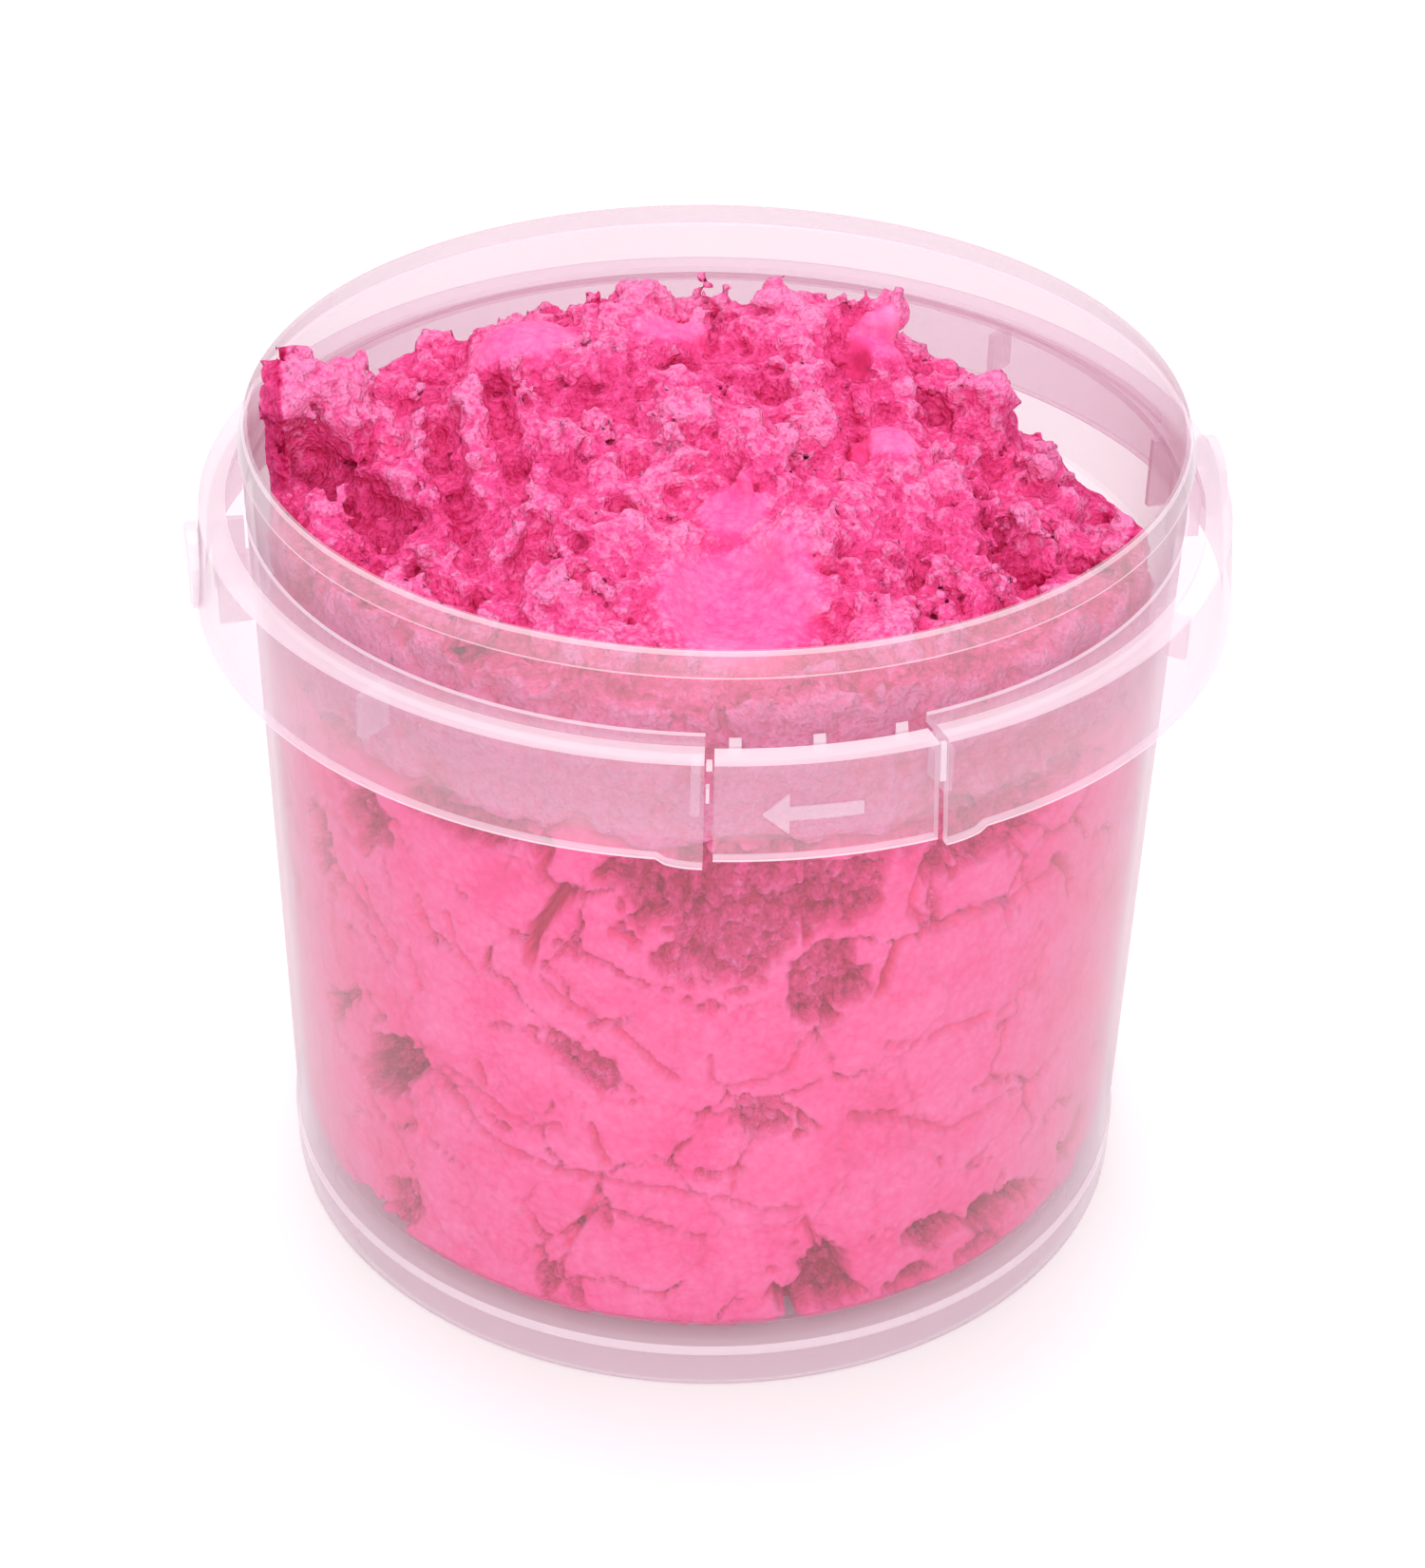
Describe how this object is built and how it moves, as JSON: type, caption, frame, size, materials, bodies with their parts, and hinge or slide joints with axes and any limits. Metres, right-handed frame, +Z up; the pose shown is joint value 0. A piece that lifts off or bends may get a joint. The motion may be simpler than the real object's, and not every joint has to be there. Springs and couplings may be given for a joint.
{
  "type": "sand bucket",
  "caption": "Translucent round tub with a tamper collar, tear tab and handle studs, filled with loose moulding sand.",
  "frame": {"origin": "centre of the foot on the ground", "axes": "+Z up along the tub's axis, -Y through the middle of the tear tab, X through the two handle studs"},
  "size_m": [0.1348, 0.133, 0.1203],
  "materials": {
    "clear_plastic": "satin",
    "moulding_sand": "matte"
  },
  "bodies": {
    "pail": {"pail_wall": "clear_plastic", "pail_floor": "clear_plastic", "foot_ring": "clear_plastic", "collar_ring": "clear_plastic", "gusset_front_left": "clear_plastic", "gusset_front_right": "clear_plastic", "gusset_back_left": "clear_plastic", "gusset_back_right": "clear_plastic", "gusset_end_left": "clear_plastic", "gusset_end_right": "clear_plastic", "stud_rib_left_front": "clear_plastic", "stud_rib_left_back": "clear_plastic", "stud_rib_right_front": "clear_plastic", "stud_rib_right_back": "clear_plastic", "handle_stud_left": "clear_plastic", "handle_stud_right": "clear_plastic", "break_link": "clear_plastic", "break_nib": "clear_plastic", "film_hinge": "clear_plastic"},
    "tab": {"tear_tab": "clear_plastic", "tab_bridge_left": "clear_plastic", "tab_bridge_middle": "clear_plastic", "tab_bridge_right": "clear_plastic", "tab_arrow": "clear_plastic"},
    "sand": {"sand_fill": "moulding_sand", "sand_heap": "moulding_sand", "sand_clump_left": "moulding_sand", "sand_clump_right": "moulding_sand", "sand_clump_top": "moulding_sand"}
  },
  "joints": [
    {"name": "tab_pull", "type": "hinge", "parent": "pail", "child": "tab", "pos_m": [0.01263, -0.06529, 0.1023], "axis": [0, 0, 1], "range_deg": [0, 115]},
    {"name": "sand_lift", "type": "slide", "parent": "pail", "child": "sand", "axis": [0, 0, 1], "range_m": [0, 0.13]}
  ]
}
